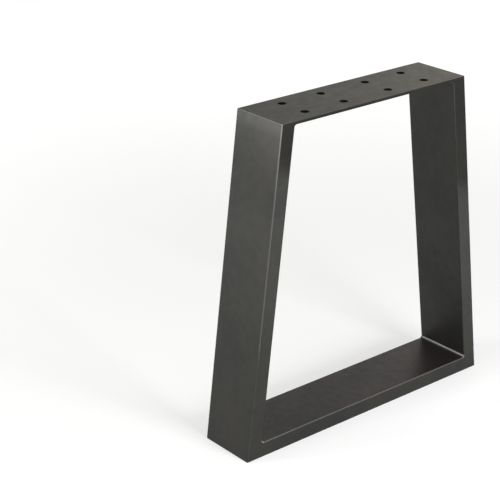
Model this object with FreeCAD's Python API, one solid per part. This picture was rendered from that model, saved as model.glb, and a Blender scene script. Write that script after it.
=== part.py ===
# Trapezoid table leg: a welded steel frame of two leaning posts and a floor beam, all in one
# rectangular tube, under a drilled flat plate that carries the table top or bench seat.
# Sizes are in millimetres. X runs along the leg's width, Y through its depth and Z up.
# The origin lies on the floor, under the middle of the leg.
import FreeCAD, Part
import math
import os

# Whole leg, measured between the outer faces
leg_height = 417.0
top_width = 297.0
foot_width = 400.0

# Rectangular tube of the posts and the beam
tube_depth = 80.0
tube_thickness = 20.0
tube_wall = 1.5
tube_corner_radius = 1.5
tube_bore_radius = 0.5

# Flat top plate
plate_thickness = 4.0
plate_edge_radius = 0.5

# Screw holes: two rows, each with a near and a far pair about the middle
hole_diameter = 10.0
hole_row_spacing = 40.0
hole_near_spacing = 72.0
hole_far_spacing = 194.0

# Welds
root_gap = 1.6
floor_bead_leg = 3.5
top_bead_leg = 2.5
bead_toe_angle = 12.0
ground_corner_radius = 0.6

# How far the cutting tools reach past what they cut, and how close two sizes count as equal
tool_reach = 2.0 * (leg_height + foot_width)
corner_tool_reach = 4.0
tolerance = 1e-6

lean = math.atan2((foot_width - top_width) / 2.0, leg_height)
plate_underside = leg_height - plate_thickness
floor_corner_angle = math.pi / 2.0 - lean


def polar(angle):
    """Unit vector in the XZ plane, at this angle from +X towards +Z."""
    return FreeCAD.Vector(math.cos(angle), 0.0, math.sin(angle))


# Directions and corners of the right half; the left half is its mirror image
upwards = polar(math.pi / 2.0)
up_post = polar(math.pi / 2.0 + lean)
into_post = polar(math.pi + lean)
along_beam = polar(math.pi)
mitre_direction = polar(math.pi - floor_corner_angle / 2.0)
floor_corner = FreeCAD.Vector(foot_width / 2.0, 0.0, 0.0)
inner_floor_corner = floor_corner + mitre_direction * (
    tube_thickness / math.sin(floor_corner_angle / 2.0)
)
inner_top_corner = FreeCAD.Vector(
    foot_width / 2.0 - tube_thickness / math.cos(lean) - plate_underside * math.tan(lean),
    0.0,
    plate_underside,
)


def line_outline(points):
    """Edges of the closed polygon through these points."""
    return [
        Part.LineSegment(points[i - 1], points[i]).toShape()
        for i in range(len(points))
    ]


def prism(edges, half_depth):
    """Solid of a closed outline in the XZ plane, extruded to both sides along Y."""
    face = Part.Face(Part.Wire(Part.__sortEdges__(edges)))
    face.translate(FreeCAD.Vector(0.0, -half_depth, 0.0))
    return face.extrude(FreeCAD.Vector(0.0, 2.0 * half_depth, 0.0))


def left_of(point, direction, offset=0.0):
    """Tool that covers all to the left of a line in the XZ plane, moved over by an offset."""
    left = FreeCAD.Vector(-direction.z, 0.0, direction.x)
    start = point + left * offset
    corners = [
        start - direction * tool_reach,
        start + direction * tool_reach,
        start + direction * tool_reach + left * tool_reach,
        start - direction * tool_reach + left * tool_reach,
    ]
    return prism(line_outline(corners), tool_reach)


def rounded_bar(length, inset, radius):
    """Bar along +X, centred on the origin, with its outer face at Z = inset."""
    bar = Part.makeBox(
        length,
        tube_depth - 2.0 * inset,
        tube_thickness - 2.0 * inset,
        FreeCAD.Vector(-length / 2.0, inset - tube_depth / 2.0, inset),
    )
    long_edges = [edge for edge in bar.Edges if is_along_x(edge)]
    return bar.makeFillet(radius, long_edges)


def is_along_x(edge):
    """Whether a straight edge runs along X."""
    way = edge.Vertexes[-1].Point - edge.Vertexes[0].Point
    return abs(way.x) > tolerance and abs(way.y) < tolerance and abs(way.z) < tolerance


def solid_stock():
    """Outer shape of the tube, long enough for every member."""
    return rounded_bar(tool_reach, 0.0, tube_corner_radius)


def hollow_stock():
    """The tube itself: the outer shape less its bore."""
    bore = rounded_bar(2.0 * tool_reach, tube_wall, tube_bore_radius)
    return solid_stock().cut(bore)


def lean_as_post(bar):
    """Turns a bar that lies like the beam so that it runs up the right post."""
    post = bar.copy()
    post.rotate(
        FreeCAD.Vector(0.0, 0.0, 0.0),
        FreeCAD.Vector(0.0, 1.0, 0.0),
        -90.0 - math.degrees(lean),
    )
    post.translate(floor_corner)
    return post


def mirrored(shape):
    """The same piece on the other side of the leg."""
    return shape.mirror(FreeCAD.Vector(0.0, 0.0, 0.0), FreeCAD.Vector(1.0, 0.0, 0.0))


def post_side(offset=0.0):
    """Tool on the post's side of the floor mitre."""
    return left_of(floor_corner, mitre_direction * -1.0, offset)


def beam_side(offset=0.0):
    """Tool on the beam's side of the floor mitre."""
    return left_of(floor_corner, mitre_direction, offset)


def below(height):
    """Tool that covers all below a height."""
    return left_of(FreeCAD.Vector(0.0, 0.0, height), along_beam)


def ground_corner():
    """Tool that rounds the outer edge of the floor mitre, as grinding does."""
    half_angle = floor_corner_angle / 2.0
    tangent = ground_corner_radius / math.tan(half_angle)
    on_beam = floor_corner + along_beam * tangent
    on_post = floor_corner + up_post * tangent
    crown = floor_corner + mitre_direction * (
        ground_corner_radius / math.sin(half_angle) - ground_corner_radius
    )
    beside_post = on_post - into_post * corner_tool_reach
    beyond = floor_corner - mitre_direction * corner_tool_reach
    under_beam = on_beam - upwards * corner_tool_reach
    edges = [
        Part.Arc(on_beam, crown, on_post).toShape(),
        Part.LineSegment(on_post, beside_post).toShape(),
        Part.LineSegment(beside_post, beyond).toShape(),
        Part.LineSegment(beyond, under_beam).toShape(),
        Part.LineSegment(under_beam, on_beam).toShape(),
    ]
    return prism(edges, tool_reach)


def right_post():
    """Leaning tube, mitred at the floor and cut level under the plate."""
    post = lean_as_post(hollow_stock()).common(post_side(root_gap / 2.0))
    post = post.common(below(plate_underside - root_gap))
    return post.cut(ground_corner())


def floor_beam():
    """Level tube that rests on the floor, mitred at both ends."""
    beam = hollow_stock()
    for side in (beam_side(root_gap / 2.0), mirrored(beam_side(root_gap / 2.0))):
        beam = beam.common(side)
    for tool in (ground_corner(), mirrored(ground_corner())):
        beam = beam.cut(tool)
    return beam


def screw_holes():
    """Straight holes through the plate, in two rows of four."""
    holes = []
    for x_spacing in (hole_near_spacing, hole_far_spacing):
        for x in (-x_spacing / 2.0, x_spacing / 2.0):
            for y in (-hole_row_spacing / 2.0, hole_row_spacing / 2.0):
                foot = FreeCAD.Vector(x, y, 0.0)
                holes.append(Part.makeCylinder(hole_diameter / 2.0, tool_reach, foot))
    return holes


def top_plate():
    """Flat plate with ends that carry on the posts' slope, rounded on top and at its corners."""
    bottom_half = top_width / 2.0 + plate_thickness * math.tan(lean)
    outline = [
        FreeCAD.Vector(-bottom_half, 0.0, plate_underside),
        FreeCAD.Vector(bottom_half, 0.0, plate_underside),
        FreeCAD.Vector(top_width / 2.0, 0.0, leg_height),
        FreeCAD.Vector(-top_width / 2.0, 0.0, leg_height),
    ]
    plate = prism(line_outline(outline), tube_depth / 2.0)
    corner_edges = []
    for edge in plate.Edges:
        way = edge.Vertexes[-1].Point - edge.Vertexes[0].Point
        if abs(way.z) > plate_thickness / 2.0:
            corner_edges.append(edge)
    plate = plate.makeFillet(tube_corner_radius, corner_edges)
    top_edges = [
        edge for edge in plate.Edges if edge.BoundBox.ZMin > leg_height - tolerance
    ]
    plate = plate.makeFillet(plate_edge_radius, top_edges)
    for hole in screw_holes():
        plate = plate.cut(hole)
    return plate


def bead(leg, corner, first_way, second_way, first_inward, second_inward):
    """Fillet weld along Y in an inner corner of two faces, with a hollow face and rounded ends.

    The leg is how far the weld reaches along each face.
    The ways run along the two faces from the corner. Each inward vector runs into the
    metal behind its face, and gives how deep the bead goes there past a rounded edge.
    """
    first_toe = corner + first_way * leg
    second_toe = corner + second_way * leg
    corner_angle = first_way.getAngle(second_way)
    chord = second_toe - first_toe
    half_turn = math.pi / 2.0 - corner_angle / 2.0 - math.radians(bead_toe_angle)
    sagitta = chord.Length / 2.0 * math.tan(half_turn / 2.0)
    towards_corner = (corner - (first_toe + second_toe) * 0.5).normalize()
    middle = (first_toe + second_toe) * 0.5 + towards_corner * sagitta
    face_arc = Part.Arc(first_toe, middle, second_toe).toShape()
    behind = corner + first_inward + second_inward
    edges = [
        face_arc,
        Part.LineSegment(second_toe, second_toe + second_inward).toShape(),
        Part.LineSegment(second_toe + second_inward, behind).toShape(),
        Part.LineSegment(behind, first_toe + first_inward).toShape(),
    ]
    if first_inward.Length > 0.0:
        edges.append(Part.LineSegment(first_toe + first_inward, first_toe).toShape())
    body = prism(edges, tube_depth / 2.0)
    end_arcs = [
        edge for edge in body.Edges
        if edge.BoundBox.YLength < tolerance and edge.Curve.TypeId == "Part::GeomCircle"
    ]
    return body.makeFillet(tube_corner_radius, end_arcs)


def floor_weld():
    """Weld of the right floor corner: the mitre's filled root gap and the bead inside it."""
    post_metal = lean_as_post(hollow_stock()).common(post_side())
    beam_metal = hollow_stock().common(beam_side())
    ring = post_metal.cut(post_side(root_gap / 2.0)).fuse(
        beam_metal.cut(beam_side(root_gap / 2.0))
    )
    inner_bead = bead(
        floor_bead_leg,
        inner_floor_corner,
        along_beam,
        up_post,
        upwards * -tube_corner_radius,
        into_post * -tube_corner_radius,
    )
    for member in (
        lean_as_post(solid_stock()).common(post_side()),
        solid_stock().common(beam_side()),
    ):
        inner_bead = inner_bead.cut(member)
    return ring.fuse(inner_bead).cut(ground_corner()).removeSplitter()


def top_weld():
    """Weld of the right top corner: the filled gap under the plate and the bead inside it."""
    stock = lean_as_post(hollow_stock())
    ring = stock.common(below(plate_underside)).cut(below(plate_underside - root_gap))
    inner_bead = bead(
        top_bead_leg,
        inner_top_corner,
        along_beam,
        up_post * -1.0,
        FreeCAD.Vector(0.0, 0.0, 0.0),
        into_post * -tube_corner_radius,
    )
    inner_bead = inner_bead.common(below(plate_underside))
    inner_bead = inner_bead.cut(lean_as_post(solid_stock()))
    return ring.fuse(inner_bead).removeSplitter()


def write_parts():
    """Builds every piece and writes one STEP file for each."""
    post = right_post()
    weld_at_floor = floor_weld()
    weld_at_top = top_weld()
    pieces = {
        "top_plate": top_plate(),
        "left_post": mirrored(post),
        "right_post": post,
        "floor_beam": floor_beam(),
        "top_weld_left": mirrored(weld_at_top),
        "top_weld_right": weld_at_top,
        "floor_weld_left": mirrored(weld_at_floor),
        "floor_weld_right": weld_at_floor,
    }
    os.makedirs("parts", exist_ok=True)
    for name, shape in pieces.items():
        print(
            f"{name}: {len(shape.Solids)} solid, valid {shape.isValid()}, "
            f"{shape.Volume:.1f} mm3"
        )
        shape.exportStep(f"parts/{name}.step")


write_parts()
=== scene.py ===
import math

import bmesh
import bpy
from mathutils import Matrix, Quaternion, Vector


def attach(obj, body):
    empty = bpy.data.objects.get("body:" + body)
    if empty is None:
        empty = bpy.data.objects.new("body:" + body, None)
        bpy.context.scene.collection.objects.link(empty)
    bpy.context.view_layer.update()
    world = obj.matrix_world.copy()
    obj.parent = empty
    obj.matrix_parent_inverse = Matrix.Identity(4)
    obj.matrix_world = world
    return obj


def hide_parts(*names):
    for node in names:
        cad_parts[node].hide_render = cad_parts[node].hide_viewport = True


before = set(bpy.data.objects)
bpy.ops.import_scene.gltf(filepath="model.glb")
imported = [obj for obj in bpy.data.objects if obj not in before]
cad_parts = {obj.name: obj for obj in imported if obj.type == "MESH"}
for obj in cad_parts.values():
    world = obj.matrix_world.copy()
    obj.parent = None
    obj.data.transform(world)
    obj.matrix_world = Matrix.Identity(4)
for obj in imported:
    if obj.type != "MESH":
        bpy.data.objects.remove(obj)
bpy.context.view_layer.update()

print("frame loaded:", ", ".join(sorted(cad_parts)))

quarterTurn = math.pi / 2.0
white = (1.0, 1.0, 1.0)
treeMerge = 1e-5  # points of a tree's mesh that are as near as this are one
pieceMerge = 1e-7  # metres, the same where two meshes of a piece meet


# Node trees, for shapes and for materials

def addNode(tree, kind, sockets=None, **settings):
    # Sockets go by name or number, and take a value or another node's output
    node = tree.nodes.new(kind)
    for name, value in settings.items():
        setattr(node, name, value)
    for key, value in (sockets or {}).items():
        if isinstance(value, bpy.types.NodeSocket):
            tree.links.new(value, node.inputs[key])
        else:
            node.inputs[key].default_value = value
    return node


def compute(tree, operation, first, second=None, clamp=False):
    sockets = {0: first} if second is None else {0: first, 1: second}
    return addNode(tree, "ShaderNodeMath", sockets, operation=operation, use_clamp=clamp).outputs[0]


def plus(tree, first, *others):
    for other in others:
        first = compute(tree, "ADD", first, other)
    return first


def minus(tree, first, second, clamp=False):
    return compute(tree, "SUBTRACT", first, second, clamp)


def times(tree, first, *others):
    for other in others:
        first = compute(tree, "MULTIPLY", first, other)
    return first


def over(tree, first, second, clamp=False):
    return compute(tree, "DIVIDE", first, second, clamp)


def half(tree, value):
    return over(tree, value, 2.0)


def power(tree, value, exponent, clamp=False):
    return compute(tree, "POWER", value, exponent, clamp)


def absolute(tree, value):
    return compute(tree, "ABSOLUTE", value)


def larger(tree, value, limit):
    return compute(tree, "GREATER_THAN", value, limit)


def smaller(tree, value, limit):
    return compute(tree, "LESS_THAN", value, limit)


def greatest(tree, first, second):
    return compute(tree, "MAXIMUM", first, second)


def least(tree, first, second):
    return compute(tree, "MINIMUM", first, second)


def blend(tree, share, first, second, kind="FLOAT"):
    # The first at share 0 and the second at share 1
    output = ("FLOAT", "VECTOR", "RGBA").index(kind)
    return addNode(tree, "ShaderNodeMix", {
        "Factor": share, "A": first, "B": second,
    }, data_type=kind).outputs[output]


def spread(tree, value, low, high, toLow, toHigh):
    # Soft passage from one value to another
    return addNode(tree, "ShaderNodeMapRange", {
        "Value": value, "From Min": low, "From Max": high, "To Min": toLow, "To Max": toHigh,
    }, interpolation_type="SMOOTHSTEP").outputs["Result"]


def combine(tree, operation, first, second=None):
    sockets = {0: first} if second is None else {0: first, 1: second}
    node = addNode(tree, "ShaderNodeVectorMath", sockets, operation=operation)
    return node.outputs["Value" if operation in ("DOT_PRODUCT", "LENGTH") else "Vector"]


def stretch(tree, vector, factor):
    return addNode(tree, "ShaderNodeVectorMath", {
        "Vector": vector, "Scale": factor,
    }, operation="SCALE").outputs["Vector"]


def sumOf(tree, first, *others):
    for other in others:
        first = combine(tree, "ADD", first, other)
    return first


def splitAxes(tree, vector):
    return addNode(tree, "ShaderNodeSeparateXYZ", {0: vector}).outputs


def joinAxes(tree, axes):
    return addNode(tree, "ShaderNodeCombineXYZ", axes).outputs[0]


# Shapes only

def startShape(name, sizes):
    # An empty geometry tree with one named input for each size
    kinds = {
        float: "NodeSocketFloat", int: "NodeSocketInt", Vector: "NodeSocketVector",
        bpy.types.Material: "NodeSocketMaterial",
    }
    tree = bpy.data.node_groups.new(name, "GeometryNodeTree")
    for label, kind in sizes.items():
        tree.interface.new_socket(label, in_out="INPUT", socket_type=kinds[kind])
    tree.interface.new_socket("Finish", in_out="INPUT", socket_type="NodeSocketMaterial")
    tree.interface.new_socket("Geometry", in_out="OUTPUT", socket_type="NodeSocketGeometry")
    return tree, tree.nodes.new("NodeGroupInput").outputs


def pointAxes(tree):
    return splitAxes(tree, tree.nodes.new("GeometryNodeInputPosition").outputs[0])


def store(tree, shape, name, value, kind="FLOAT", domain="POINT"):
    return addNode(tree, "GeometryNodeStoreNamedAttribute", {
        "Geometry": shape, "Name": name, "Value": value,
    }, data_type=kind, domain=domain).outputs[0]


def stored(tree, name, kind="FLOAT"):
    node = addNode(tree, "GeometryNodeInputNamedAttribute", {"Name": name}, data_type=kind)
    return node.outputs["Attribute"]


def joinShapes(tree, *shapes):
    node = tree.nodes.new("GeometryNodeJoinGeometry")
    for shape in shapes:
        tree.links.new(shape, node.inputs[0])
    return node.outputs[0]


def roundedOutline(tree, width, height, radius, steps):
    outline = addNode(tree, "GeometryNodeCurvePrimitiveQuadrilateral", {
        "Width": width, "Height": height,
    })
    return addNode(tree, "GeometryNodeFilletCurve", {
        "Curve": outline.outputs[0], "Radius": radius, "Count": steps,
    }, mode="POLY").outputs[0]


def fillOutlines(tree, outlines):
    return addNode(tree, "GeometryNodeFillCurve", {"Curve": outlines}, mode="TRIANGLES").outputs[0]


def drawUp(tree, mesh, height, where=True):
    # The offset comes through a link, because the node passes over the socket's own value
    return addNode(tree, "GeometryNodeExtrudeMesh", {
        "Mesh": mesh, "Selection": where, "Offset": joinAxes(tree, {"Z": height}),
        "Offset Scale": 1.0, "Individual": False,
    }, mode="FACES").outputs


def deleteFaces(tree, mesh, where):
    return addNode(tree, "GeometryNodeDeleteGeometry", {
        "Geometry": mesh, "Selection": where,
    }, domain="FACE").outputs[0]


def weldPoints(tree, mesh):
    return addNode(tree, "GeometryNodeMergeByDistance", {
        "Geometry": mesh, "Distance": treeMerge,
    }).outputs[0]


def shadeSmooth(tree, mesh, where):
    return addNode(tree, "GeometryNodeSetShadeSmooth", {
        "Geometry": mesh, "Shade Smooth": where,
    }, domain="FACE").outputs[0]


def moveTo(tree, mesh, places):
    return addNode(tree, "GeometryNodeSetPosition", {"Geometry": mesh, "Position": places}).outputs[0]


def finishShape(tree, geometry, finish, second=None, where=None):
    real = addNode(tree, "GeometryNodeRealizeInstances", {0: geometry})
    coated = addNode(tree, "GeometryNodeSetMaterial", {"Geometry": real.outputs[0], "Material": finish})
    if second:
        coated = addNode(tree, "GeometryNodeSetMaterial", {
            "Geometry": coated.outputs[0], "Selection": where, "Material": second,
        })
    addNode(tree, "NodeGroupOutput", {0: coated.outputs[0]})


def grow(tree, sizes, finish):
    # Runs a geometry tree on an empty mesh and returns what it makes as a plain mesh
    blank = bpy.data.objects.new("blank", bpy.data.meshes.new("blank"))
    bpy.context.scene.collection.objects.link(blank)
    growth = blank.modifiers.new("growth", "NODES")
    growth.node_group = tree
    for socket in tree.interface.items_tree:
        if socket.in_out == "INPUT":
            growth[socket.identifier] = finish if socket.name == "Finish" else sizes[socket.name]
    blank.update_tag()
    bpy.context.view_layer.update()
    seen = blank.evaluated_get(bpy.context.evaluated_depsgraph_get())
    mesh = bpy.data.meshes.new_from_object(seen)
    bpy.data.objects.remove(blank)
    return mesh


def keepPiece(name, meshes, finishes, node):
    # One piece of these meshes, in place of a CAD node
    shell = bmesh.new()
    for mesh in meshes:
        shell.from_mesh(mesh)
        bpy.data.meshes.remove(mesh)
    bmesh.ops.remove_doubles(shell, verts=shell.verts, dist=pieceMerge)
    bmesh.ops.recalc_face_normals(shell, faces=shell.faces)
    for face in shell.faces:
        face.material_index = max(face.material_index - 1, 0)  # a grown mesh's first slot is empty
    for edge in shell.edges:
        edge.smooth = all(face.smooth for face in edge.link_faces)  # no shading across a cut
    whole = bpy.data.meshes.new(name)
    for finish in finishes:
        whole.materials.append(finish)
    shell.to_mesh(whole)
    shell.free()
    piece = bpy.data.objects.new(name, whole)
    bpy.context.scene.collection.objects.link(piece)
    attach(piece, "root")
    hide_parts(node)


# Camera, placed at the photograph's viewpoint
cameraView = {
    "place": (-1.2247, -1.2796, 0.9615),
    "azimuth": -39.698,  # degrees, 0 looks along +Y
    "elevation": 22.992,  # degrees above the horizon
    "roll": -0.108,
    "focalPixels": 1542.2,
    "imagePixels": 500.0,
    "sensor": 36.0,
    "nearest": 0.05,
    "farthest": 60.0,
}


def makeCamera(spec):
    data = bpy.data.cameras.new("photoCamera")
    data.sensor_width = spec["sensor"]
    data.lens = spec["focalPixels"] * spec["sensor"] / spec["imagePixels"]
    data.clip_start = spec["nearest"]
    data.clip_end = spec["farthest"]
    camera = bpy.data.objects.new("photoCamera", data)
    bpy.context.scene.collection.objects.link(camera)
    turn, rise, roll = (math.radians(spec[angle]) for angle in ("azimuth", "elevation", "roll"))
    back = Vector((
        math.sin(turn) * math.cos(rise),
        -math.cos(turn) * math.cos(rise),
        math.sin(rise),
    ))
    camera.location = spec["place"]
    camera.rotation_mode = "QUATERNION"
    camera.rotation_quaternion = (-back).to_track_quat("-Z", "Y") @ Quaternion((0, 0, 1), roll)
    bpy.context.scene.camera = camera


makeCamera(cameraView)
print("camera placed")


# Satin anthracite powder coat, the same on every piece
coat = {
    # colours of the upright faces, of the beam's top and of the plate's top; the browner tops are
    # painted warm light from above
    "sideCool": (0.0070, 0.0076, 0.0074, 1.0),
    "sideWarm": (0.0092, 0.0086, 0.0074, 1.0),
    "beamCool": (0.0094, 0.0072, 0.0078, 1.0),
    "beamWarm": (0.0124, 0.0078, 0.0084, 1.0),
    "plateCool": (0.0094, 0.0080, 0.0038, 1.0),
    "plateWarm": (0.0168, 0.0104, 0.0024, 1.0),
    "beamToPlate": (0.1, 0.3),  # height, metres
    # painted highlight along the rounded edges: its colour, and how it rises with the rim
    "glintColour": (0.27, 0.27, 0.262, 1.0),
    "glintPower": 2.0,
    # soft clouds about 75 mm wide and a fine mottle, in colour and in gloss
    "cloudScale": 13.0,
    "cloudDetail": 2.0,
    "cloudHue": 0.6,
    "cloudGloss": 0.48,
    "mottleScale": 95.0,
    "mottleDetail": 3.0,
    "mottleHue": 0.4,
    "mottleGloss": 0.36,
    "hueOver": (0.38, 0.62),
    "unevenOver": (0.3, 0.7),
    "unevenness": 0.02,
    # gloss
    "roughness": 0.42,
    # smoother gloss under the painted edge highlight
    "glintRoughness": 0.36,
    "specular": 0.2,
    "tint": (0.99, 1.0, 0.94, 1.0),
    "facingPower": 4.0,  # how strictly a face has to look up or to the side to count
    # painted sheen and painted shade in the gloss of the narrow sides, along this slant
    "slant": (0.3, 0.0, 1.0),
    "sheenOver": (0.05, 0.17),  # along the slant, metres
    "sheenLeft": 0.14,
    "sheenRight": 0.65,
    "leftToRight": (-0.15, 0.15),
    "shadeOver": (0.295, 0.335),
    "shadeLoss": 0.74,
    # painted shade and painted highlight in the gloss of the outsides, by height
    "outerShadeOver": (0.27, 0.335),  # height, metres
    "outerShadeLoss": 0.2,
    "outerSheenOver": (0.35, 0.405),
    "outerSheenGain": 0.27,
    "topSheenOver": (0.397, 0.411),
    "topSheenGain": 0.58,
    "aboveLoss": 0.15,
    # fine powder grain on a faint orange peel, metres high
    "reliefDetail": 1.0,
    "noiseRoughness": 0.55,
    "grainScale": 1900.0,
    "grainHeight": 0.000012,
    "peelScale": 330.0,
    "peelHeight": 0.00002,
}


def makeCoat(name, spec):
    material = bpy.data.materials.new(name)
    material.use_nodes = True
    tree = material.node_tree
    shader = tree.nodes["Principled BSDF"]
    spot = addNode(tree, "ShaderNodeTexCoord").outputs["Object"]
    place = splitAxes(tree, spot)
    facing = splitAxes(tree, addNode(tree, "ShaderNodeNewGeometry").outputs["Normal"])

    def noise(scale, detail):
        return addNode(tree, "ShaderNodeTexNoise", {
            "Vector": spot, "Scale": scale, "Detail": detail, "Roughness": spec["noiseRoughness"],
        }).outputs["Fac"]

    def relief(height, scale, under=None):
        sockets = {"Strength": 1.0, "Distance": height, "Height": noise(scale, spec["reliefDetail"])}
        if under:
            sockets["Normal"] = under
        return addNode(tree, "ShaderNodeBump", sockets).outputs[0]

    # Powder lies in soft clouds, a little warmer or cooler; the faces that look up are browner, as
    # painted warm light from above
    cloud = noise(spec["cloudScale"], spec["cloudDetail"])
    mottle = noise(spec["mottleScale"], spec["mottleDetail"])
    patches = plus(tree, times(tree, cloud, spec["cloudHue"]), times(tree, mottle, spec["mottleHue"]))
    hue = spread(tree, patches, *spec["hueOver"], 0.0, 1.0)
    above = power(tree, greatest(tree, facing["Z"], 0.0), spec["facingPower"])
    onSides, onBeam, onPlate = (
        blend(tree, hue, spec[part + "Cool"], spec[part + "Warm"], "RGBA")
        for part in ("side", "beam", "plate")
    )
    upToPlate = spread(tree, place["Z"], *spec["beamToPlate"], 0.0, 1.0)
    litTops = blend(tree, upToPlate, onBeam, onPlate, "RGBA")
    powderAndLitTops = blend(tree, above, onSides, litTops, "RGBA")

    # Painted highlight along the edges, where the meshes carry a "rim" above 0: a lighter colour and a
    # smoother gloss
    rim = addNode(
        tree, "ShaderNodeAttribute", attribute_name="rim", attribute_type="GEOMETRY").outputs["Fac"]
    glint = power(tree, greatest(tree, rim, 0.0), spec["glintPower"], clamp=True)
    tree.links.new(blend(tree, glint, powderAndLitTops, spec["glintColour"], "RGBA"), shader.inputs["Base Color"])

    # The gloss is raised over the middle of the narrow sides as painted sheen, and lowered high up as
    # painted shade, first on the right
    slant = combine(tree, "DOT_PRODUCT", spot, spec["slant"])
    narrow = power(tree, absolute(tree, facing["Y"]), spec["facingPower"])
    narrowSheen = times(
        tree, spread(tree, slant, *spec["sheenOver"], 0.0, 1.0),
        spread(tree, place["X"], *spec["leftToRight"], spec["sheenLeft"], spec["sheenRight"]),
    )
    highShade = spread(tree, slant, *spec["shadeOver"], 1.0, 1.0 - spec["shadeLoss"])
    onNarrow = times(tree, narrow, plus(tree, narrowSheen, 1.0), highShade)

    # On the outsides the gloss drops too, as painted shade, and rises by the top welds, most where they
    # are dressed flush, as painted highlight
    outward = compute(tree, "MULTIPLY", facing["X"], compute(tree, "SIGN", place["X"]), clamp=True)
    outerShadeAndSheen = times(tree, outward, plus(
        tree, spread(tree, place["Z"], *spec["outerShadeOver"], 0.0, -spec["outerShadeLoss"]),
        spread(tree, place["Z"], *spec["outerSheenOver"], 0.0, spec["outerSheenGain"]),
        spread(tree, place["Z"], *spec["topSheenOver"], 0.0, spec["topSheenGain"]),
    ))
    dullTops = times(tree, above, -spec["aboveLoss"])  # less gloss on the faces that look up
    onBroad = times(tree, minus(tree, 1.0, narrow), plus(tree, outerShadeAndSheen, dullTops, 1.0))
    drift = plus(
        tree, times(tree, minus(tree, cloud, 0.5), spec["cloudGloss"]),
        times(tree, minus(tree, mottle, 0.5), spec["mottleGloss"]),
    )
    gloss = times(tree, plus(tree, drift, 1.0), plus(tree, onNarrow, onBroad), spec["specular"])
    tree.links.new(gloss, shader.inputs["Specular IOR Level"])
    shader.inputs["Specular Tint"].default_value = spec["tint"]
    uneven = spread(
        tree, mottle, *spec["unevenOver"],
        spec["roughness"] + spec["unevenness"], spec["roughness"] - spec["unevenness"],
    )
    tree.links.new(blend(tree, glint, uneven, spec["glintRoughness"]), shader.inputs["Roughness"])
    peel = relief(spec["peelHeight"], spec["peelScale"])
    tree.links.new(relief(spec["grainHeight"], spec["grainScale"], peel), shader.inputs["Normal"])
    return material


satinCoat = makeCoat("satinCoat", coat)
darkHoleSpec = dict(coat, roughness=0.7, specular=0.05)  # painted shade in the holes: little gloss, and rougher
shadedHoleCoat = makeCoat("shadedHoleCoat", darkHoleSpec)


# Sizes of the frame, the same as the construction's
leg = {
    "height": 0.417,
    "topWidth": 0.297,
    "footWidth": 0.400,
    "depth": 0.080,
    "plate": 0.004,
    "rootGap": 0.0016,
    "groundCorner": 0.0006,
}
tube = {
    "Depth": leg["depth"],
    "Thickness": 0.020,
    "Wall": 0.0015,
    "Corner Radius": 0.0015,
    "Bore Radius": 0.0005,
    "Corner Steps": 9,
    "Start Closed": 1,
}
glintFade = 3.0  # how late the painted edge highlight fades over a rounded corner

lean = math.atan2((leg["footWidth"] - leg["topWidth"]) / 2.0, leg["height"])
halfFoot = leg["footWidth"] / 2.0
underPlate = leg["height"] - leg["plate"]


def cornerGlint(tree, size, gapX, gapY):
    # Painted edge highlight: 1 along a rounded corner and 0 at its ends, from the gaps to the two faces
    # that meet there
    gap = over(tree, greatest(tree, gapX, gapY), size["Corner Radius"])
    return minus(tree, 1.0, power(tree, gap, glintFade), clamp=True)


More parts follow.
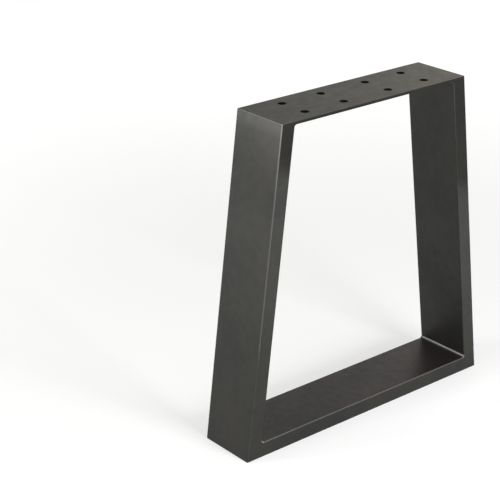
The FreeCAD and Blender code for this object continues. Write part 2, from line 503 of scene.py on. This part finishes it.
def tubeTree():
    # A mitred length of box tube: a hollow section drawn out between two cutting planes
    tree, size = startShape("mitredTube", {
        "Depth": float, "Thickness": float, "Wall": float,
        "Corner Radius": float, "Bore Radius": float, "Corner Steps": int,
        "Edge": Vector, "Along": Vector, "Inward": Vector,
        "Start": Vector, "Start Facing": Vector, "End": Vector, "End Facing": Vector,
        "Relief": Vector, "Start Closed": int,
        "Outer Glint": float, "Inner Glint": float, "Glint At Start": float,
        "Low Ring": float, "Glint At Low": float, "Middle Ring": float, "Glint At Middle": float,
        "High Ring": float, "Glint At High": float,
    })
    section = []
    for walls, radius in ((0.0, size["Corner Radius"]), (2.0, size["Bore Radius"])):
        less = times(tree, size["Wall"], walls)
        section.append(roundedOutline(
            tree, minus(tree, size["Thickness"], less), minus(tree, size["Depth"], less),
            radius, size["Corner Steps"],
        ))
    cut = fillOutlines(tree, joinShapes(tree, *section))
    # It is drawn up in four lengths, so that it has a ring of points wherever the painted edge
    # highlight turns
    rings = (size["Low Ring"], size["Middle Ring"], size["High Ring"], 1.0)
    glintAtRings = (size["Glint At Low"], size["Glint At Middle"], size["Glint At High"], 1.0)
    drawn, onTop, below = cut, True, 0.0
    for ring in rings:
        length = drawUp(tree, drawn, minus(tree, ring, below), onTop)
        drawn, onTop, below = length["Mesh"], length["Top"], ring
    lid = deleteFaces(tree, cut, smaller(tree, size["Start Closed"], 0.5))
    shell = weldPoints(tree, joinShapes(tree, drawn, lid))

    # In the section X runs through the thickness from its middle, and Z from one cut to the other
    atRing = 0.01  # how near to a ring or a cut a point counts as on it
    x, y, z = pointAxes(tree)
    rim = cornerGlint(
        tree, size, minus(tree, half(tree, size["Thickness"]), absolute(tree, x)),
        minus(tree, half(tree, size["Depth"]), absolute(tree, y)),
    )
    # Painted edge highlight: its level on the outer and the inner corners, and its share at the start
    # and at each ring
    glintLevel = blend(tree, larger(tree, x, 0.0), size["Outer Glint"], size["Inner Glint"])
    share = size["Glint At Start"]
    for ring, glintThere in zip(rings, glintAtRings):
        share = blend(tree, larger(tree, z, minus(tree, ring, atRing)), share, glintThere)
    marked = store(tree, shell, "rim", times(tree, rim, glintLevel, share))
    rounded = larger(tree, rim, 0.01)
    between = smaller(tree, absolute(tree, minus(tree, z, 0.5)), 0.5 - atRing)  # the cuts stay flat
    shaded = shadeSmooth(tree, marked, times(tree, rounded, between))

    inside = plus(tree, x, half(tree, size["Thickness"]))
    foot = sumOf(tree, size["Edge"], stretch(tree, size["Inward"], inside), joinAxes(tree, {"Y": y}))
    reach = []
    for point, facing in (("Start", "Start Facing"), ("End", "End Facing")):
        away = combine(tree, "DOT_PRODUCT", combine(tree, "SUBTRACT", size[point], foot), size[facing])
        reach.append(over(tree, away, combine(tree, "DOT_PRODUCT", size["Along"], size[facing])))
    outer = minus(tree, 1.0, over(tree, inside, size["Wall"]), clamp=True)
    ground = times(tree, outer, smaller(tree, z, 0.5))  # only the outer wall's start is ground back
    put = moveTo(tree, shaded, sumOf(
        tree, foot, stretch(tree, size["Along"], blend(tree, z, *reach)),
        stretch(tree, size["Relief"], ground),
    ))
    finishShape(tree, put, size["Finish"])
    return tree


def polar(angle):
    # Unit vector in the XZ plane, from +X towards +Z
    return Vector((math.cos(angle), 0.0, math.sin(angle)))


def onSide(vector, side):
    return Vector((vector.x * side, vector.y, vector.z))


# Places and ways of the right half; the left half takes them mirrored
zero = Vector((0.0, 0.0, 0.0))
level = Vector((0.0, 0.0, 1.0))
alongBeam = Vector((-1.0, 0.0, 0.0))
upPost = polar(quarterTurn + lean)
intoPost = polar(math.pi + lean)
halfCorner = (quarterTurn - lean) / 2.0
mitreWay = polar(quarterTurn + (quarterTurn + lean) / 2.0)
mitreFacing = Vector((-mitreWay.z, 0.0, mitreWay.x))  # points down and to the beam
floorCorner = Vector((halfFoot, 0.0, 0.0))
innerFloor = floorCorner + mitreWay * (tube["Thickness"] / math.sin(halfCorner))
innerTop = Vector((
    halfFoot - tube["Thickness"] / math.cos(lean) - underPlate * math.tan(lean), 0.0, underPlate,
))
topOfPost = Vector((0.0, 0.0, underPlate))
underWeld = Vector((0.0, 0.0, underPlate - leg["rootGap"]))
halfGap = mitreFacing * (leg["rootGap"] / 2.0)
groundOff = mitreWay * (leg["groundCorner"] / math.sin(halfCorner) - leg["groundCorner"])

# How bright the painted highlight along the rounded edges is, outer and inner: a share of that
# at the start and at each of three rings, which lie at a share of the length, and all of it at the end
evenly = {
    "Glint At Start": 1.0, "Low Ring": 0.58, "Glint At Low": 1.0,
    "Middle Ring": 0.7, "Glint At Middle": 1.0, "High Ring": 0.85, "Glint At High": 1.0,
}
# no painted edge highlight
noGlint = dict(evenly, **{"Outer Glint": 0.0, "Inner Glint": 0.0})
edgeGlint = {
    "left": {
        "Outer Glint": 0.71, "Inner Glint": 0.0,
        "Glint At Start": 0.33, "Low Ring": 0.3, "Glint At Low": 0.3,
        "Middle Ring": 0.36, "Glint At Middle": 0.54, "High Ring": 0.8, "Glint At High": 0.61,
    },
    "right": {
        "Outer Glint": 0.3, "Inner Glint": 0.2,
        "Glint At Start": 0.0, "Low Ring": 0.3, "Glint At Low": 0.0,
        "Middle Ring": 0.62, "Glint At Middle": 0.0, "High Ring": 0.8, "Glint At High": 0.47,
    },
    "beam": {
        "Outer Glint": 0.0, "Inner Glint": 0.47,
        "Glint At Start": 0.84, "Low Ring": 0.24, "Glint At Low": 1.0,
        "Middle Ring": 0.5, "Glint At Middle": 1.0, "High Ring": 0.75, "Glint At High": 1.0,
    },
}


def placed(side, ways):
    return {name: onSide(way, side) for name, way in ways.items()}


def postCut(side, start, startFacing, end, endFacing, glintLevel=noGlint, relief=zero):
    # Sizes of a length of post tube between two cuts, with its painted edge highlight
    return dict(tube, **placed(side, {
        "Edge": floorCorner, "Along": upPost, "Inward": intoPost, "Relief": relief,
        "Start": start, "Start Facing": startFacing, "End": end, "End Facing": endFacing,
    }), **glintLevel)


def beamCut(side, start, end, glintLevel=noGlint, relief=zero):
    # Sizes of a length of beam tube between two cuts on the slope of a mitre, with its painted edge
    # highlight
    return dict(tube, **placed(side, {
        "Edge": zero, "Along": alongBeam, "Inward": level, "Relief": relief,
        "Start": start, "Start Facing": mitreFacing, "End": end, "End Facing": mitreFacing,
    }), **glintLevel)


mitredTube = tubeTree()
for side, name in ((-1.0, "left"), (1.0, "right")):
    post = grow(mitredTube, postCut(
        side, floorCorner - halfGap, mitreFacing, underWeld, level, edgeGlint[name]), satinCoat)
    keepPiece(name + "Post", [post], [satinCoat], name + "_post")
beamEnds = beamCut(1.0, floorCorner + halfGap, zero, edgeGlint["beam"])
beamEnds["End"] = onSide(floorCorner + halfGap, -1.0)
beamEnds["End Facing"] = onSide(mitreFacing, -1.0)
beam = grow(mitredTube, beamEnds, satinCoat)
keepPiece("floorBeam", [beam], [satinCoat], "floor_beam")
print("posts and beam drawn")


# Welds: the ground seam through each joint and the bead in its inner corner
bead = {
    "Fullness": 1.5,
    "Half Depth": leg["depth"] / 2.0,
    "End Radius": tube["Corner Radius"],
    "Ripple Height": 0.00004,
    "Ripple Pitch": 0.0016,
    "Ripple Middle": 0.6,
    "Wander": 260.0,  # per metre
    "Face Steps": 13,
    "Length Steps": 330,
}
# Painted highlight on each bead: a band on its face and a line round its rounded ends
floorBead = {"Leg": 0.0035, "Face Glint": 0.78, "Glint Lean": 2.2}
topBead = {"Leg": 0.0025, "Face Glint": 0.55, "Glint Lean": 2.5, "End Glint": 0.0}
endGlint = {"left": 0.85, "right": 0.5}


def beadTree():
    # A run of weld metal along Y: a hollow-faced section swept past both rounded ends
    tree, size = startShape("cornerBead", {
        "Leg": float, "Fullness": float, "Half Depth": float, "End Radius": float,
        "Ripple Height": float, "Ripple Pitch": float, "Ripple Middle": float, "Wander": float,
        "Face Steps": int, "Length Steps": int,
        "Corner": Vector, "First Way": Vector, "Second Way": Vector,
        "First Inward": Vector, "Second Inward": Vector,
        "Face Glint": float, "Glint Lean": float, "End Glint": float,
    })
    # Section points: the face from toe to toe, and the last one in the corner behind it
    ring = addNode(tree, "GeometryNodeCurvePrimitiveCircle", {
        "Resolution": plus(tree, size["Face Steps"], 1.0), "Radius": 0.001,
    }, mode="RADIUS").outputs[0]  # every point gets its own place below
    index = tree.nodes.new("GeometryNodeInputIndex").outputs[0]
    across = over(tree, index, minus(tree, size["Face Steps"], 1.0))
    onFace = smaller(tree, across, 1.001)  # across is 1 at the second toe and more behind it
    behind = minus(tree, 1.0, onFace)
    offset = times(tree, size["Leg"], onFace)
    fromFirst = power(tree, minus(tree, 1.0, across, clamp=True), size["Fullness"])
    fromSecond = power(tree, across, size["Fullness"])
    turn = times(tree, across, quarterTurn)
    firstShare = greatest(tree, times(tree, compute(tree, "COSINE", turn), onFace), behind)
    secondShare = greatest(tree, times(tree, compute(tree, "SINE", turn), onFace), behind)
    crown = times(tree, compute(tree, "SINE", times(tree, across, math.pi)), onFace)
    section = store(tree, ring, "spot", sumOf(
        tree, stretch(tree, size["First Way"], times(tree, offset, fromFirst)),
        stretch(tree, size["Second Way"], times(tree, offset, fromSecond)),
    ), "FLOAT_VECTOR")
    section = store(tree, section, "inward", sumOf(
        tree, stretch(tree, size["First Inward"], firstShare),
        stretch(tree, size["Second Inward"], secondShare),
    ), "FLOAT_VECTOR")
    section = store(tree, section, "crown", crown)
    section = store(tree, section, "across", times(tree, across, onFace))

    # The run is as long as the way over its two rounded ends
    straight = minus(tree, size["Half Depth"], size["End Radius"])
    halfRun = plus(tree, straight, times(tree, size["End Radius"], quarterTurn))
    line = addNode(tree, "GeometryNodeCurvePrimitiveLine", {
        "Start": joinAxes(tree, {"Y": times(tree, halfRun, -1.0)}),
        "End": joinAxes(tree, {"Y": halfRun}),
    }, mode="POINTS")
    run = addNode(tree, "GeometryNodeResampleCurve", {
        "Curve": line.outputs[0], "Count": size["Length Steps"],
    })
    path = store(tree, run.outputs[0], "run", pointAxes(tree)["Y"])
    swept = addNode(tree, "GeometryNodeCurveToMesh", {
        "Curve": path, "Profile Curve": section, "Fill Caps": True,
    }).outputs[0]
    along = stored(tree, "run")
    beyond = greatest(tree, minus(tree, absolute(tree, along), straight), 0.0)
    past = over(tree, beyond, size["End Radius"])
    drop = times(tree, size["End Radius"], minus(tree, 1.0, compute(tree, "COSINE", past)))
    y = times(tree, compute(tree, "SIGN", along), plus(
        tree, least(tree, absolute(tree, along), straight),
        times(tree, size["End Radius"], compute(tree, "SINE", past)),
    ))

    # Each ripple is a crescent, later at the bead's middle than at its toes
    crownHere = stored(tree, "crown")
    late = plus(tree, along, times(tree, crownHere, size["Ripple Pitch"]))
    wander = addNode(tree, "ShaderNodeTexNoise", {
        "W": times(tree, along, size["Wander"]), "Scale": 1.0, "Detail": 1.0,
    }, noise_dimensions="1D").outputs[0]
    phase = times(tree, plus(tree, over(tree, late, size["Ripple Pitch"]), wander), math.pi)
    ridge = minus(tree, absolute(tree, compute(tree, "SINE", phase)), size["Ripple Middle"])
    settled = minus(tree, 1.0, least(tree, past, 1.0))
    lift = times(tree, times(tree, ridge, settled), times(tree, crownHere, size["Ripple Height"]))
    shaped = moveTo(tree, swept, sumOf(
        tree, size["Corner"], stored(tree, "spot", "FLOAT_VECTOR"),
        stretch(tree, stored(tree, "inward", "FLOAT_VECTOR"), minus(tree, drop, lift)),
        joinAxes(tree, {"Y": y}),
    ))

    # The face carries a painted highlight in a band, nearer to the second toe the more it leans
    band = compute(tree, "SINE", times(
        tree, power(tree, stored(tree, "across"), size["Glint Lean"]), math.pi))
    onFaceGlint = times(tree, band, settled, size["Face Glint"])
    # and a painted highlight round the rounded ends
    bent = compute(tree, "SINE", times(tree, least(tree, past, quarterTurn), 2.0))
    onEndGlint = times(tree, bent, size["End Glint"], larger(tree, crownHere, 0.0))
    marked = store(tree, shaped, "rim", greatest(tree, onFaceGlint, onEndGlint))
    for name in ("spot", "inward", "crown", "across", "run"):
        marked = addNode(tree, "GeometryNodeRemoveAttribute", {
            "Geometry": marked, "Name": name,
        }).outputs[0]
    flat = shadeSmooth(tree, marked, False)  # a swept mesh is smooth, and ripples this fine stay crisp
    finishShape(tree, flat, size["Finish"])
    return tree


cornerBead = beadTree()


def layBead(side, corner, firstWay, secondWay, firstInward, secondInward, run):
    return grow(cornerBead, dict(bead, **placed(side, {
        "Corner": corner, "First Way": firstWay, "Second Way": secondWay,
        "First Inward": firstInward, "Second Inward": secondInward,
    }), **run), satinCoat)


def laySeam(cut):
    # Half of a mitre's seam, open towards the other half
    return grow(mitredTube, dict(cut, **{"Start Closed": 0}), satinCoat)


def startGlint(name):
    # The seam carries the painted edge highlight that the post has at its start
    glintLevel = edgeGlint[name]
    return dict(noGlint, **{"Outer Glint": glintLevel["Outer Glint"] * glintLevel["Glint At Start"]})


for side, name in ((-1.0, "left"), (1.0, "right")):
    keepPiece(name + "FloorWeld", [
        layBead(
            side, innerFloor, alongBeam, upPost, -level, -intoPost,
            dict(floorBead, **{"End Glint": endGlint[name]})),
        laySeam(postCut(
            side, floorCorner, mitreFacing, floorCorner - halfGap, mitreFacing,
            startGlint(name), groundOff)),
        laySeam(beamCut(side, floorCorner, floorCorner + halfGap, relief=groundOff)),
    ], [satinCoat], "floor_weld_" + name)
    keepPiece(name + "TopWeld", [
        layBead(side, innerTop, alongBeam, -upPost, zero, -alongBeam / math.cos(lean), topBead),
        grow(mitredTube, postCut(
            side, underWeld, level, topOfPost, level, dict(edgeGlint[name], **evenly)), satinCoat),
    ], [satinCoat], "top_weld_" + name)
print("welds laid")


# Top plate with its two rows of screw holes
plate = {
    "Length": leg["topWidth"],
    "Depth": leg["depth"],
    "Thickness": leg["plate"],
    "Underside": underPlate,
    "End Slope": math.tan(lean),
    "Corner Radius": tube["Corner Radius"],
    "Corner Steps": 9,
    "Edge Radius": 0.0005,
    "Edge Steps": 5,
    "Hole Radius": 0.005,
    "Hole Edge": 0.00035,
    "Hole Steps": 48,
    "Row Spacing": 0.040,
    "Near Spacing": 0.072,
    "Far Spacing": 0.194,
    # painted highlight on the rounded edges: at the ends, along the sides and up the left corners
    "End Glint": 0.85,
    "Side Glint": 0.42,
    "Left Glint": edgeGlint["left"]["Outer Glint"],
    "Glint Gain": 1.7,
    "Hole Finish": shadedHoleCoat,
}


def plateTree(edgeSteps):
    # A drilled plate: its outline is drawn up in layers, the upper ones over the rounded edges
    tree, size = startShape("drilledPlate", {
        "Length": float, "Depth": float, "Thickness": float, "Underside": float, "End Slope": float,
        "Corner Radius": float, "Corner Steps": int, "Edge Radius": float,
        "Hole Radius": float, "Hole Edge": float, "Hole Steps": int,
        "Row Spacing": float, "Near Spacing": float, "Far Spacing": float,
        "End Glint": float, "Side Glint": float, "Left Glint": float, "Glint Gain": float,
        "Hole Finish": bpy.types.Material,
    })
    outline = roundedOutline(
        tree, size["Length"], size["Depth"], size["Corner Radius"], size["Corner Steps"])
    circle = addNode(tree, "GeometryNodeCurvePrimitiveCircle", {
        "Resolution": size["Hole Steps"], "Radius": size["Hole Radius"],
    }, mode="RADIUS")
    centres = joinShapes(tree, *(addNode(tree, "GeometryNodeMeshGrid", {
        "Size X": size[spacing], "Size Y": size["Row Spacing"], "Vertices X": 2, "Vertices Y": 2,
    }).outputs[0] for spacing in ("Near Spacing", "Far Spacing")))
    holes = addNode(tree, "GeometryNodeInstanceOnPoints", {
        "Points": centres, "Instance": circle.outputs[0],
    })
    drilled = addNode(tree, "GeometryNodeRealizeInstances", {0: holes.outputs[0]})
    face = fillOutlines(tree, joinShapes(tree, outline, drilled.outputs[0]))

    def faceAt(layer):
        return addNode(tree, "GeometryNodeTransform", {
            "Geometry": face, "Translation": (0.0, 0.0, layer),
        }).outputs[0]

    layers = [face]
    for layer in range(edgeSteps + 1):
        lifted = drawUp(tree, faceAt(layer), 1.0)
        layers.append(deleteFaces(tree, lifted["Mesh"], lifted["Top"]))
    layers.append(faceAt(edgeSteps + 1))
    shell = weldPoints(tree, joinShapes(tree, *layers))

    # Way from each rounded corner's axis or hole's axis to the point
    x, y, layer = pointAxes(tree)
    flat = joinAxes(tree, {"X": x, "Y": y})
    sizeX, sizeY = absolute(tree, x), absolute(tree, y)
    signX, signY = compute(tree, "SIGN", x), compute(tree, "SIGN", y)

    def signed(far, along):
        return joinAxes(tree, {"X": times(tree, far, signX), "Y": times(tree, along, signY)})

    nearHole, farHole = half(tree, size["Near Spacing"]), half(tree, size["Far Spacing"])
    isFar = larger(tree, sizeX, half(tree, plus(tree, nearHole, farHole)))
    holeX = blend(tree, isFar, nearHole, farHole)
    fromHole = combine(tree, "SUBTRACT", flat, signed(holeX, half(tree, size["Row Spacing"])))
    holeReach = times(tree, size["Hole Radius"], 1.2)  # past the hole's edge and short of all else
    atHole = smaller(tree, combine(tree, "LENGTH", fromHole), holeReach)
    axisX = minus(tree, half(tree, size["Length"]), size["Corner Radius"])
    axisY = minus(tree, half(tree, size["Depth"]), size["Corner Radius"])
    axis = signed(least(tree, sizeX, axisX), least(tree, sizeY, axisY))
    inward = blend(
        tree, atHole, combine(tree, "NORMALIZE", combine(tree, "SUBTRACT", axis, flat)),
        combine(tree, "NORMALIZE", fromHole), "VECTOR",
    )
    radius = blend(tree, atHole, size["Edge Radius"], size["Hole Edge"])

    # Layer 0 is the underside, layer 1 ends the upright wall, and the rest turn over the edge
    turn = times(tree, greatest(tree, minus(tree, layer, 1.0), 0.0), quarterTurn / edgeSteps)
    inset = times(tree, radius, minus(tree, 1.0, compute(tree, "COSINE", turn)))
    height = plus(
        tree, times(tree, minus(tree, size["Thickness"], size["Edge Radius"]), least(tree, layer, 1.0)),
        times(tree, size["Edge Radius"], compute(tree, "SINE", turn)),
    )
    below = minus(tree, size["Thickness"], height)
    atEnd = larger(tree, sizeX, minus(tree, axisX, size["Corner Radius"]))
    slope = times(tree, times(tree, below, size["End Slope"]), times(tree, atEnd, signX))
    put = sumOf(
        tree, flat, stretch(tree, inward, inset),
        joinAxes(tree, {"X": slope, "Z": plus(tree, size["Underside"], height)}),
    )

    # Painted highlight on the rounded edges and up the left corners, not in the holes
    midBend = compute(tree, "SINE", times(tree, turn, 2.0))
    rounding = compute(tree, "MULTIPLY", midBend, size["Glint Gain"], clamp=True)
    roundEnd = over(tree, minus(tree, sizeX, axisX), size["Corner Radius"], clamp=True)
    glintLevel = blend(tree, roundEnd, size["Side Glint"], size["End Glint"])
    corner = cornerGlint(
        tree, size, minus(tree, half(tree, size["Length"]), sizeX),
        minus(tree, half(tree, size["Depth"]), sizeY),
    )
    upright = times(tree, corner, times(tree, size["Left Glint"], smaller(tree, x, 0.0)))
    underTop = smaller(tree, layer, edgeSteps + 0.9)
    rim = store(tree, shell, "rim", times(tree, minus(tree, 1.0, atHole), greatest(
        tree, times(tree, rounding, glintLevel), times(tree, upright, underTop))))

    bend = times(tree, larger(tree, sizeX, axisX), larger(tree, sizeY, axisY))
    curved = larger(tree, greatest(tree, greatest(tree, atHole, bend), rounding), 0.1)
    onSides = times(tree, larger(tree, layer, 0.1), underTop)
    shaded = shadeSmooth(tree, rim, times(tree, curved, onSides))
    marked = store(tree, shaded, "inHole", times(tree, atHole, onSides), "BOOLEAN", "FACE")
    inHole = stored(tree, "inHole", "BOOLEAN")
    finishShape(tree, moveTo(tree, marked, put), size["Finish"], size["Hole Finish"], inHole)
    return tree


drilledPlate = plateTree(plate["Edge Steps"])
topPlate = grow(drilledPlate, plate, satinCoat)
keepPiece("topPlate", [topPlate], [satinCoat, shadedHoleCoat], "top_plate")
print("plate drilled")


# Studio
studio = {
    "floorSize": 30.0,
    "floorColour": (0.5, 0.5, 0.5, 1.0),
    "floorGlow": 0.5,
    "farGlow": 0.74,
    "glowOver": (0.35, 1.7),  # metres from the middle
    "worldLight": 0.4,
    "aim": (0.0, 0.0, 0.2),
}
lowLamp = {"rise": 7.0, "far": 2.4, "size": 0.8, "colour": white}  # degrees and metres
softboxes = {
    "backLeft": dict(lowLamp, turn=150.0, power=41.0, colour=(1.0, 0.975, 0.935)),
    "left": dict(lowLamp, turn=180.0, power=19.0),
    "front": dict(lowLamp, turn=270.0, power=47.0),
    "nearFront": dict(lowLamp, turn=270.0, power=19.0, rise=6.0, far=1.2, size=0.5),
    "backRight": dict(lowLamp, turn=30.0, power=2.8, rise=28.0, size=1.0, colour=(1.0, 0.93, 0.66)),
}


def seenDirectly(tree):
    # 1 for rays that show the background: straight, mirrored or through glass
    path = tree.nodes.new("ShaderNodeLightPath").outputs
    shown = greatest(tree, path["Is Camera Ray"], path["Is Glossy Ray"])
    return greatest(tree, shown, path["Is Transmission Ray"])


def makeWorld(spec):
    world = bpy.data.worlds.new("studioWorld")
    bpy.context.scene.world = world
    world.use_nodes = True
    tree = world.node_tree
    background = tree.nodes["Background"]
    background.inputs["Color"].default_value = (*white, 1.0)
    strength = addNode(tree, "ShaderNodeMapRange", {
        "Value": seenDirectly(tree), "To Min": spec["worldLight"], "To Max": 1.0,
    })
    tree.links.new(strength.outputs["Result"], background.inputs["Strength"])


def makeFloor(spec):
    far = spec["floorSize"] / 2.0
    corners = [(-far, -far, 0), (far, -far, 0), (far, far, 0), (-far, far, 0)]
    mesh = bpy.data.meshes.new("studioFloor")
    mesh.from_pydata(corners, [], [(0, 1, 2, 3)])
    floor = bpy.data.objects.new("studioFloor", mesh)
    bpy.context.scene.collection.objects.link(floor)
    material = bpy.data.materials.new("paleFloor")
    material.use_nodes = True
    tree = material.node_tree
    shader = tree.nodes["Principled BSDF"]
    shader.inputs["Base Color"].default_value = spec["floorColour"]
    shader.inputs["Roughness"].default_value = 1.0
    shader.inputs["Specular IOR Level"].default_value = 0.0
    shader.inputs["Emission Color"].default_value = (*white, 1.0)
    # The floor whitens away from the object, so that its shadow stays and the background is plain
    away = combine(tree, "LENGTH", addNode(tree, "ShaderNodeTexCoord").outputs["Object"])
    glow = spread(tree, away, *spec["glowOver"], spec["floorGlow"], spec["farGlow"])
    tree.links.new(times(tree, seenDirectly(tree), glow), shader.inputs["Emission Strength"])
    mesh.materials.append(material)


def makeSoftbox(name, spec, aim):
    data = bpy.data.lights.new(name, "AREA")
    data.shape = "SQUARE"
    data.size = spec["size"]
    data.energy = spec["power"]
    data.color = spec["colour"]
    lamp = bpy.data.objects.new(name, data)
    bpy.context.scene.collection.objects.link(lamp)
    turn, rise = math.radians(spec["turn"]), math.radians(spec["rise"])
    place = Vector(aim) + spec["far"] * Vector((
        math.cos(turn) * math.cos(rise),
        math.sin(turn) * math.cos(rise),
        math.sin(rise),
    ))
    place.z = max(place.z, spec["size"] / 2.0)  # stands on the floor at the lowest
    lamp.location = place
    lamp.rotation_mode = "QUATERNION"
    lamp.rotation_quaternion = (Vector(aim) - place).to_track_quat("-Z", "Y")
    lamp.visible_camera = False


makeWorld(studio)
makeFloor(studio)
for name, spec in softboxes.items():
    makeSoftbox(name, spec, studio["aim"])
bpy.context.scene.view_settings.view_transform = "Standard"
print("studio lit")
